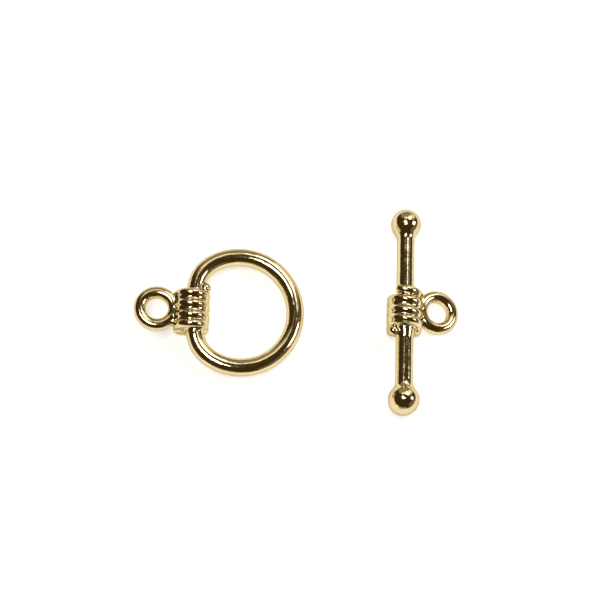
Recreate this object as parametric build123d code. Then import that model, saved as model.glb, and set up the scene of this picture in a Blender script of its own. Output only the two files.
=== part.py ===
from build123d import *
from math import asin, cos, degrees, exp, log, pi, sin
import os

os.makedirs("parts", exist_ok=True)

# All sizes are in millimetres. X is the photo's right, Y its top and Z is up.

# Shared by both halves
WIRE_R = 0.88           # ring wire and bar rod
BARREL_R = 1.80         # outside of the wound sleeve
COIL_WIRE_R = 0.45
COIL_PITCH = 0.95
COIL_PASSES = 4         # ridges seen on top of the sleeve
COIL_LEAD_OUT = 0.12    # turns past the last ridge, to the other rounded end
CORE_R = 1.64           # fills the grooves part way, as a casting does
CORE_HALF = 1.95
KNOB_R = 0.52           # the swollen end of the wound wire
KNOB_ANGLE = 75.0       # from the top of the sleeve, away from the eye
KNOB_OUT = 0.30         # the wire end stands this far clear of its own turn

# Eye for the chain or cord
EYE_OFFSET = 3.39       # sleeve axis to eye centre
EYE_R = 1.65            # centre line of the eye's tube
EYE_TUBE_R = 0.62
EYE_BORE_R = 1.09       # leaves a short straight land inside the tube

# Ring: a nearly round hoop, flattened where it runs through the sleeve
RING_OFFSET = 4.78      # sleeve axis to ring centre
RING_HALF_X = 5.49
RING_HALF_Y = 5.70
RING_FLAT_X = -4.70     # the hoop's centre line bends to stay on this side
RING_FLAT_SOFT = 0.60
RING_POINTS = 36
RING_SLEEVE_SHIFT = 0.12    # the sleeve sits this far to one side of the eye

# Bar: a round rod with a ball at each end
BALL_R = 1.53
BALL_HALF_SPAN = 9.12   # bar middle to ball centre
BALL_FILLET = 1.05
BAR_SLEEVE_SHIFT = 0.10     # the sleeve sits this far past the bar's middle

# Where each half lies: sleeve centre in plan, and its turn about Z in degrees
RING_PLACE, RING_TURN = (-10.36, -0.20), 0.3
BAR_PLACE, BAR_TURN = (10.73, 0.20), -2.5


def sleeve():
    """The wound sleeve along Y, centred on its four ridges, its wire end towards -X."""
    lead_in = 1.0 - KNOB_ANGLE / 360.0
    middle_ridge = lead_in + (COIL_PASSES - 1) / 2.0
    turns = lead_in + (COIL_PASSES - 1) + COIL_LEAD_OUT
    path = Helix(COIL_PITCH, COIL_PITCH * turns, BARREL_R - COIL_WIRE_R, lefthand=True)
    start, end = path @ 0, path @ 1
    wire = sweep(Plane(origin=start, z_dir=path % 0) * Circle(COIL_WIRE_R), path=path, is_frenet=True)
    wire += [Pos(*start) * Sphere(COIL_WIRE_R), Pos(*end) * Sphere(COIL_WIRE_R)]
    wire += Pos(start.X, start.Y, start.Z - KNOB_OUT) * Sphere(KNOB_R)
    wire = Pos(0, 0, -COIL_PITCH * middle_ridge) * wire
    # The helix starts on +X about Z: lay it along Y, then turn its start up to the knob's place.
    wire = Rot(Y=-(90.0 + KNOB_ANGLE)) * (Rot(X=-90) * wire)
    return wire + Rot(X=90) * Cylinder(CORE_R, 2 * CORE_HALF)


def eye():
    """The round eye on +X, bored along Z."""
    ring = Torus(EYE_R, EYE_TUBE_R) - Cylinder(EYE_BORE_R, 4 * EYE_TUBE_R)
    return Pos(EYE_OFFSET, 0, 0) * ring


def hoop():
    """The ring's wire, swept round its flattened centre line, sleeve axis at X = 0."""
    def centre_line(step):
        angle = 2 * pi * step / RING_POINTS
        x = RING_HALF_X * cos(angle)
        x = RING_FLAT_X + RING_FLAT_SOFT * log(1 + exp((x - RING_FLAT_X) / RING_FLAT_SOFT))
        return (RING_OFFSET + x, RING_HALF_Y * sin(angle), 0)

    path = Spline([centre_line(step) for step in range(RING_POINTS)], periodic=True)
    return sweep(Plane(origin=path @ 0, z_dir=path % 0) * Circle(WIRE_R), path=path)


def bar():
    """The rod along Y with its two balls, each run into the rod by a fillet."""
    rod = Cylinder(WIRE_R, 2 * BALL_HALF_SPAN)
    body = rod + [Pos(0, 0, side * BALL_HALF_SPAN) * Sphere(BALL_R) for side in (-1, 1)]
    necks = body.edges().filter_by(GeomType.CIRCLE).filter_by(lambda edge: edge.radius < 1.1 * WIRE_R)
    return Pos(0, -BAR_SLEEVE_SHIFT, 0) * Rot(X=90) * fillet(necks, BALL_FILLET)


def lie(reach, foot_r, place, turn):
    """Where a half lies: on its sleeve, and on a round edge of radius foot_r that far out on +X."""
    pitch = degrees(asin((BARREL_R - foot_r) / reach))
    return Pos(place[0], place[1], BARREL_R) * Rot(Z=turn) * Rot(Y=pitch)


ring_lies = lie(RING_OFFSET + RING_HALF_X, WIRE_R, RING_PLACE, RING_TURN)
bar_lies = lie(EYE_OFFSET + EYE_R, EYE_TUBE_R, BAR_PLACE, BAR_TURN)
west = Rot(Z=180)
halves = {
    "ring_half": ring_lies * (hoop() + west * Pos(0, RING_SLEEVE_SHIFT, 0) * sleeve() + west * eye()),
    "bar_half": bar_lies * (bar() + sleeve() + eye()),
}

# The shared frame: origin under the middle of the pair, on the table.
box = Compound(children=[half.solid() for half in halves.values()]).bounding_box()
to_frame = Pos(-box.center().X, -box.center().Y, 0)
for name, half in halves.items():
    solid = (to_frame * half).solid()
    solid.label = name
    export_step(solid, f"parts/{name}.step")
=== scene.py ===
from math import acos, asin, cos, exp, log, pi, radians, sin, sqrt

import bpy
from mathutils import Matrix, Vector, noise


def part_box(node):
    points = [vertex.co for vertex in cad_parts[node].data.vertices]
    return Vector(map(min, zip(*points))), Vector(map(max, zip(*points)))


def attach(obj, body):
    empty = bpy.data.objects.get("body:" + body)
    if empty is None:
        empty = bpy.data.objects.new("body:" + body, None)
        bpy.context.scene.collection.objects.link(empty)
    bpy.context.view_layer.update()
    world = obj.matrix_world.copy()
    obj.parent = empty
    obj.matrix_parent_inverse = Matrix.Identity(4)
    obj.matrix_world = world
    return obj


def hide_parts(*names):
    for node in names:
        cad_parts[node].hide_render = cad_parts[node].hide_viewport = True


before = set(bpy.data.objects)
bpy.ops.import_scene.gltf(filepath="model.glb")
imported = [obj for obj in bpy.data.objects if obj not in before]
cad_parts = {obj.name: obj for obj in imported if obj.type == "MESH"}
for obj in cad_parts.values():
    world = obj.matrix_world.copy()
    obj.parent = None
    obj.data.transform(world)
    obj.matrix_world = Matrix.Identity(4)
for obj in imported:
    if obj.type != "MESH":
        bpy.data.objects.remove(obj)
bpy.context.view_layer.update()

MM = 0.001              # shapes below are made in millimetres, then scaled by this

# Sizes of the casting
WIRE_R = 0.88
BARREL_R = 1.80
COIL_WIRE_R = 0.45
COIL_LEAD_OUT = 0.12    # turns past the last ridge
KNOB_R = 0.54
KNOB_ANGLE = radians(75)
EYE_OFFSET = 3.39
EYE_R = 1.65
EYE_TUBE_R = 0.62
EYE_BORE_R = 1.09
RING_OFFSET = 4.78
RING_HALF_X = 5.49
RING_HALF_Y = 5.70
RING_FLAT_X = -4.70
RING_FLAT_SOFT = 0.60
RING_SLEEVE_SHIFT = 0.12
BALL_R = 1.53
BALL_HALF_SPAN = 9.12
BALL_FILLET = 1.05
BAR_SLEEVE_SHIFT = 0.10
FLARE_R = 1.05          # the rod swells a little where it comes out of the sleeve, on the knob's side
FLARE_TO = 2.30
FLARE_LONG = 0.65
SAG = 0.20              # slope by which the far side of one ball sags, from a little past its middle
SAG_FROM = 0.25
RING_TURN = radians(0.3)
BAR_TURN = radians(-2.5)

# The hand-wound look: where each pass of the wire crosses the top, from the knob on, and how much
# the ridges slant there
RING_COIL = {"knob": -2.15, "ridges": (-1.50, -0.40, 0.75, 1.64), "slant": 0.12}
BAR_COIL = {"knob": -2.50, "ridges": (-1.44, -0.55, 0.55, 1.56), "slant": 0.0}

# What fills the wire's grooves part way: oval bars along the sleeve, as place across, height above
# the sleeve's axis, half width, half height, and from where to where along it
RING_CORE = [
    (0.0, 0.0, 1.70, 1.56, -1.95, 1.90),
    (0.0, -0.8, 1.74, 0.95, -1.90, 2.10),
]
BAR_CORE = [
    (0.0, 0.0, 1.70, 1.56, -1.95, 1.05),
    (0.45, 0.0, 1.25, 1.50, 0.90, 1.90),
    (0.0, -0.8, 1.60, 0.95, -2.50, 0.90),
    (0.9, -0.4, 0.90, 0.90, -2.55, 1.80),
]

# Meshing
VOXEL = 0.064
SMOOTHING = 11
WAVE_HEIGHT = 0.009     # the cast surface under the plating isn't quite true
WAVE_LENGTH = 0.9
WAVE_SINK = 0.6         # the waves go mostly inwards, so the casting stays inside its CAD box
SIDES = 48
CAP_ANGLES = [radians(angle) for angle in (10, 25, 40, 55, 70)]
COIL_STEPS = 64         # per turn
HOOP_STEPS = 240
EYE_STEPS = 40
BALL_STEPS = 40
FILLET_STEPS = 12
KNOB_STEPS = 16
ROD_STEP = 0.5
CORE_EDGE = 0.2


def add_surface(parts, rings, closed=False):
    """Skin a list of point rings; the ends are closed by fans unless the last ring joins the first."""
    verts, faces = parts
    base, count, width = len(verts), len(rings), len(rings[0])
    for ring in rings:
        verts.extend(ring)
    for i in range(count if closed else count - 1):
        for j in range(width):
            a, b = base + i * width, base + (i + 1) % count * width
            k = (j + 1) % width
            faces.append((a + j, a + k, b + k, b + j))
    if not closed:
        faces.append(tuple(base + j for j in reversed(range(width))))
        faces.append(tuple(base + (count - 1) * width + j for j in range(width)))


def circle_ring(centre, normal, side, radius):
    """Points of a circle round centre, in the plane of `side` and its cross with the normal."""
    other = normal.cross(side).normalized()
    angles = [2 * pi * j / SIDES for j in range(SIDES)]
    return [centre + radius * (cos(a) * side + sin(a) * other) for a in angles]


def add_shape(parts, verts, faces, matrix):
    """Add a shape made elsewhere, moved by the matrix."""
    base = len(parts[0])
    parts[0].extend(matrix @ vert for vert in verts)
    parts[1].extend(tuple(base + i for i in face) for face in faces)


def cap(point, along, side, radius, direction):
    """The rings of a half ball on the end of a tube, from its tip to the tube."""
    rings = []
    for angle in CAP_ANGLES:
        centre = point + direction * along * radius * cos(angle)
        rings.append(circle_ring(centre, along, side, radius * sin(angle)))
    return rings


def add_tube(parts, points, radius, closed=False):
    """A round tube through points, with a half ball on each end if it isn't closed."""
    count = len(points)
    rings = []
    side = Vector((0, 0, 1))
    for i, point in enumerate(points):
        before = points[i - 1] if i or closed else point
        after = points[(i + 1) % count] if i + 1 < count or closed else point
        along = (after - before).normalized()
        side = (side - side.dot(along) * along).normalized()
        if not closed and i == 0:
            rings += cap(point, along, side, radius, -1)
        rings.append(circle_ring(point, along, side, radius))
        if not closed and i == count - 1:
            rings += reversed(cap(point, along, side, radius, 1))
    add_surface(parts, rings, closed)


def add_turned(parts, profile, axis_at=Vector(), along="Y", closed=False):
    """Turn a profile of (radius, height) pairs about an axis through axis_at."""
    normal = Vector((0, 1, 0)) if along == "Y" else Vector((0, 0, 1))
    side = Vector((1, 0, 0))
    rings = []
    for radius, height in profile:
        rings.append(circle_ring(axis_at + normal * height, normal, side, radius))
    add_surface(parts, rings, closed)


def add_core(parts, core):
    """Bars of oval section along Y, their edges a little rounded."""
    for x, z, wide, high, start, end in core:
        rounded = 1.0 - CORE_EDGE / wide
        full = [(1.0, start + CORE_EDGE), (1.0, end - CORE_EDGE)]
        shape = ([], [])
        add_turned(shape, [(rounded, start), *full, (rounded, end)])
        oval = Matrix.Diagonal((wide, 1, high, 1))
        add_shape(parts, *shape, Matrix.Translation((x, 0, z)) @ oval)


def coil_y(coil, turn):
    """Place along the sleeve of the wound wire, a number of turns after its knob."""
    lead_in = 1.0 - KNOB_ANGLE / (2 * pi)
    turns = [0.0] + [lead_in + i for i in range(len(coil["ridges"]))]
    places = [coil["knob"], *coil["ridges"]]
    i = min(sum(turn > t for t in turns[1:]), len(turns) - 2)
    return places[i] + (places[i + 1] - places[i]) * (turn - turns[i]) / (turns[i + 1] - turns[i])


def add_sleeve(parts, coil, core, shift=0.0):
    """The wound wire, both its ends towards -X, and the core that fills its grooves part way."""
    verts, faces = [], []
    turns = 1.0 - KNOB_ANGLE / (2 * pi) + len(coil["ridges"]) - 1 + COIL_LEAD_OUT
    radius = BARREL_R - COIL_WIRE_R
    steps = int(COIL_STEPS * turns)
    points = []
    for i in range(steps + 1):
        turn = turns * i / steps
        angle = pi / 2 + KNOB_ANGLE + 2 * pi * turn
        y = coil_y(coil, turn) + coil["slant"] * cos(angle)
        points.append(Vector((radius * cos(angle), y, radius * sin(angle))))
    add_tube((verts, faces), points, COIL_WIRE_R)
    angles = [pi * i / KNOB_STEPS for i in range(1, KNOB_STEPS)]
    ball = [(KNOB_R * sin(angle), -KNOB_R * cos(angle)) for angle in angles]
    add_turned((verts, faces), ball, points[0])
    add_core((verts, faces), core)
    add_shape(parts, verts, faces, Matrix.Translation((0, shift, 0)))


def add_eye(parts):
    """The eye on +X: a round tube, cut straight where its hole is bored."""
    centre = Vector((EYE_OFFSET, 0, 0))
    profile = []
    for i in range(EYE_STEPS):
        angle = 2 * pi * i / EYE_STEPS
        radius = max(EYE_BORE_R, EYE_R + EYE_TUBE_R * cos(angle))
        profile.append((radius, EYE_TUBE_R * sin(angle)))
    add_turned(parts, profile, centre, along="Z", closed=True)


def add_hoop(parts):
    """The ring's wire round its flattened centre line."""
    points = []
    for i in range(HOOP_STEPS):
        angle = 2 * pi * i / HOOP_STEPS
        x = RING_HALF_X * cos(angle)
        x = RING_FLAT_X + RING_FLAT_SOFT * log(1 + exp((x - RING_FLAT_X) / RING_FLAT_SOFT))
        points.append(Vector((RING_OFFSET + x, RING_HALF_Y * sin(angle), 0)))
    add_tube(parts, points, WIRE_R, closed=True)


def bar_profile():
    """Half the bar's outline from its middle out: rod, fillet, ball."""
    reach = sqrt((BALL_R + BALL_FILLET) ** 2 - (WIRE_R + BALL_FILLET) ** 2)
    fillet_at = BALL_HALF_SPAN - reach
    meet = acos(reach / (BALL_R + BALL_FILLET))
    profile = [(WIRE_R, ROD_STEP * i) for i in range(int(fillet_at / ROD_STEP) + 1)]
    for i in range(FILLET_STEPS):
        angle = meet + (pi / 2 - meet) * (1 - i / (FILLET_STEPS - 1))
        radius = WIRE_R + BALL_FILLET - BALL_FILLET * sin(angle)
        profile.append((radius, fillet_at + BALL_FILLET * cos(angle)))
    for i in range(1, BALL_STEPS):
        angle = meet + (pi - meet) * i / BALL_STEPS
        profile.append((BALL_R * sin(angle), BALL_HALF_SPAN - BALL_R * cos(angle)))
    return profile


def add_bar(parts):
    """The rod with its two balls, its middle a little to one side of the sleeve's."""
    half = bar_profile()
    profile = [(radius, -height) for radius, height in reversed(half[1:])] + half
    verts, faces = [], []
    add_turned((verts, faces), profile, Vector((0, -BAR_SLEEVE_SHIFT, 0)))
    flare_end = -FLARE_TO - FLARE_LONG
    flare = [(FLARE_R, 0.0), (FLARE_R, -FLARE_TO), (WIRE_R, flare_end), (WIRE_R / 2, flare_end)]
    add_turned((verts, faces), flare)
    for vert in verts:
        past = -BAR_SLEEVE_SHIFT - BALL_HALF_SPAN - SAG_FROM - vert.y
        if past > 0:
            vert.z -= SAG * past
    add_shape(parts, verts, faces, Matrix())


def cast(name, node, body, parts, matrix, material):
    """Fuse the overlapping parts into one casting, put it where its CAD node is and finish it."""
    mesh = bpy.data.meshes.new(name)
    verts, faces = parts
    mesh.from_pydata([tuple(v) for v in verts], [], faces)
    obj = bpy.data.objects.new(name, mesh)
    bpy.context.collection.objects.link(obj)
    fuse = obj.modifiers.new("fuse", "REMESH")
    fuse.mode = "VOXEL"
    fuse.voxel_size = VOXEL
    soften = obj.modifiers.new("soften", "SMOOTH")
    soften.iterations = SMOOTHING
    fused = bpy.data.meshes.new_from_object(obj.evaluated_get(bpy.context.evaluated_depsgraph_get()))
    obj.modifiers.clear()
    obj.data = fused
    bpy.data.meshes.remove(mesh)
    fused.name = name

    pushes = []
    for vert in fused.vertices:
        wave = noise.noise(vert.co / WAVE_LENGTH) - WAVE_SINK
        pushes.append(WAVE_HEIGHT * wave * vert.normal)
    for vert, push in zip(fused.vertices, pushes):
        vert.co += push
    fused.transform(matrix)
    fused.transform(Matrix.Scale(MM, 4))
    low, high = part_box(node)
    xs, ys, zs = zip(*(vert.co for vert in fused.vertices))
    middle = Vector(((min(xs) + max(xs)) / 2, (min(ys) + max(ys)) / 2, (min(zs) + max(zs)) / 2))
    fused.transform(Matrix.Translation((low + high) / 2 - middle))
    fused.shade_smooth()
    fused.materials.clear()
    fused.materials.append(material)
    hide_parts(node)
    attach(obj, body)
    return obj


# The plating's two tints, the tint of its reflections seen edge on, and its roughness from and to
GOLD_PALE = (0.77, 0.66, 0.41, 1)
GOLD_DEEP = (0.72, 0.60, 0.34, 1)
GOLD_EDGE = (0.55, 0.47, 0.28, 1)
GLOSS = (0.07, 0.16)
TINT_SIZE = 1.8
GLOSS_SIZE = 0.35
GRAIN = [(0.5, 0.010), (0.12, 0.0014)]      # size and depth of the cast surface's bumps


def gold():
    """Polished gold plating over a cast surface: a faint grain, soft ripples and a few duller patches."""
    material = bpy.data.materials.new("gold_plate")
    material.use_nodes = True
    nodes, links = material.node_tree.nodes, material.node_tree.links
    shader = nodes["Principled BSDF"]
    shader.inputs["Metallic"].default_value = 1.0
    shader.inputs["Specular Tint"].default_value = GOLD_EDGE
    place = nodes.new("ShaderNodeTexCoord")

    def noise_of(size_mm, detail):
        texture = nodes.new("ShaderNodeTexNoise")
        texture.inputs["Scale"].default_value = 1 / (size_mm * MM)
        texture.inputs["Detail"].default_value = detail
        links.new(place.outputs["Object"], texture.inputs["Vector"])
        return texture.outputs["Fac"]

    def map_range(value, low, high, to_low, to_high):
        node = nodes.new("ShaderNodeMapRange")
        numbers = {"From Min": low, "From Max": high, "To Min": to_low, "To Max": to_high}
        for name, number in numbers.items():
            node.inputs[name].default_value = number
        links.new(value, node.inputs["Value"])
        return node.outputs["Result"]

    patches = noise_of(TINT_SIZE, 3)
    tint = nodes.new("ShaderNodeMix")
    tint.data_type = "RGBA"
    tint.inputs["A"].default_value = GOLD_PALE
    tint.inputs["B"].default_value = GOLD_DEEP
    links.new(map_range(patches, 0.4, 0.65, 0, 1), tint.inputs["Factor"])
    links.new(tint.outputs["Result"], shader.inputs["Base Color"])
    gloss = map_range(noise_of(GLOSS_SIZE, 4), 0.3, 0.7, *GLOSS)
    links.new(gloss, shader.inputs["Roughness"])

    normal = None
    for size_mm, depth_mm in GRAIN:
        bump = nodes.new("ShaderNodeBump")
        bump.inputs["Distance"].default_value = depth_mm * MM
        links.new(noise_of(size_mm, 2), bump.inputs["Height"])
        if normal:
            links.new(normal, bump.inputs["Normal"])
        normal = bump.outputs["Normal"]
    links.new(normal, shader.inputs["Normal"])
    return material


def build_halves():
    material = gold()
    to_west = Matrix.Rotation(pi, 4, "Z")

    ring = ([], [])
    add_sleeve(ring, RING_COIL, RING_CORE, RING_SLEEVE_SHIFT)
    add_eye(ring)
    ring = ([to_west @ v for v in ring[0]], ring[1])
    add_hoop(ring)
    ring_pitch = asin((BARREL_R - WIRE_R) / (RING_OFFSET + RING_HALF_X))
    lie = Matrix.Rotation(RING_TURN, 4, "Z") @ Matrix.Rotation(ring_pitch, 4, "Y")
    cast("ring_casting", "ring_half", "ring", ring, lie, material)

    bar = ([], [])
    add_sleeve(bar, BAR_COIL, BAR_CORE)
    add_eye(bar)
    add_bar(bar)
    bar_pitch = asin((BARREL_R - EYE_TUBE_R) / (EYE_OFFSET + EYE_R))
    lie = Matrix.Rotation(BAR_TURN, 4, "Z") @ Matrix.Rotation(bar_pitch, 4, "Y")
    cast("bar_casting", "bar_half", "bar", bar, lie, material)


# Set: all places below are in millimetres from the frame's origin
CAMERA_AT = Vector((-4.1, -31.1, 99.5))
CAMERA_TO = Vector((0.22, 1.15, 0.9))
PHOTO_SIDE = 600
PIXELS_PER_MM = 10.0
SENSOR = 36.0
FLOOR_SIDE = 1600
PAPER_GLOW = 0.53       # thin paper lit from below as well


def look(at, to):
    """The matrix of a camera or light at one point that looks at another, top of frame to +Y."""
    back = (at - to).normalized()
    right = Vector((0, 1, 0)).cross(back).normalized()
    up = back.cross(right)
    return Matrix.Translation(at * MM) @ Matrix((right, up, back)).transposed().to_4x4()


def place_camera():
    data = bpy.data.cameras.new("camera")
    data.sensor_width = SENSOR
    data.lens = SENSOR * PIXELS_PER_MM * (CAMERA_TO - CAMERA_AT).length / PHOTO_SIDE
    data.clip_start = 0.002
    camera = bpy.data.objects.new("camera", data)
    camera.matrix_world = look(CAMERA_AT, CAMERA_TO)
    bpy.context.collection.objects.link(camera)
    bpy.context.scene.camera = camera


def place_floor():
    half = FLOOR_SIDE / 2 * MM
    mesh = bpy.data.meshes.new("floor")
    corners = [(-half, -half, 0), (half, -half, 0), (half, half, 0), (-half, half, 0)]
    mesh.from_pydata(corners, [], [(0, 1, 2, 3)])
    floor = bpy.data.objects.new("floor", mesh)
    bpy.context.collection.objects.link(floor)
    material = bpy.data.materials.new("paper")
    material.use_nodes = True
    shader = material.node_tree.nodes["Principled BSDF"]
    shader.inputs["Base Color"].default_value = (0.93, 0.93, 0.93, 1)
    shader.inputs["Roughness"].default_value = 0.9
    shader.inputs["Emission Color"].default_value = (1, 1, 1, 1)
    shader.inputs["Emission Strength"].default_value = PAPER_GLOW
    mesh.materials.append(material)


WHITE = (1, 1, 1)
WARM = (1, 0.9, 0.72)
ROOM = (0.052, 0.032, 0.010, 1)     # the dark room round the soft boxes

# Soft boxes: azimuth from +X towards +Y and elevation in degrees, distance and sides in mm
LIGHTS = [
    # name, azimuth, elevation, distance, width, height, brightness, colour
    ("overhead", 196, 81.5, 420, 195, 105, 10.0, WHITE),
    ("strip", 56, 50, 420, 160, 180, 2.6, WHITE),
    ("strip_foot", 50, 24, 420, 150, 210, 0.9, WARM),
    ("east", -1, 34, 420, 150, 130, 5.0, WHITE),
    ("north", 98, 57, 420, 150, 110, 1.2, WARM),
    ("northeast", 76, 33, 420, 760, 400, 0.28, WARM),
    ("west", 193, 2, 420, 900, 90, 1.0, WARM),
    ("south", 255, 2, 420, 460, 120, 0.5, WARM),
    ("southeast", 330, 15, 420, 500, 210, 0.13, WARM),
]


def place_lights():
    for name, azimuth, elevation, distance, width, height, brightness, colour in LIGHTS:
        az, el = radians(azimuth), radians(elevation)
        at = distance * Vector((cos(el) * cos(az), cos(el) * sin(az), sin(el)))
        data = bpy.data.lights.new(name, "AREA")
        data.shape = "RECTANGLE"
        data.color = colour
        data.size, data.size_y = width * MM, height * MM
        data.energy = brightness * pi * data.size * data.size_y
        light = bpy.data.objects.new(name, data)
        back = at.normalized()
        right = Vector((-sin(az), cos(az), 0))
        up = back.cross(right)
        light.matrix_world = Matrix.Translation(at * MM) @ Matrix((right, up, back)).transposed().to_4x4()
        bpy.context.collection.objects.link(light)
    world = bpy.data.worlds.new("room")
    world.use_nodes = True
    world.node_tree.nodes["Background"].inputs["Color"].default_value = ROOM
    bpy.context.scene.world = world


build_halves()
place_camera()
place_floor()
place_lights()
bpy.context.scene.view_settings.view_transform = "Standard"
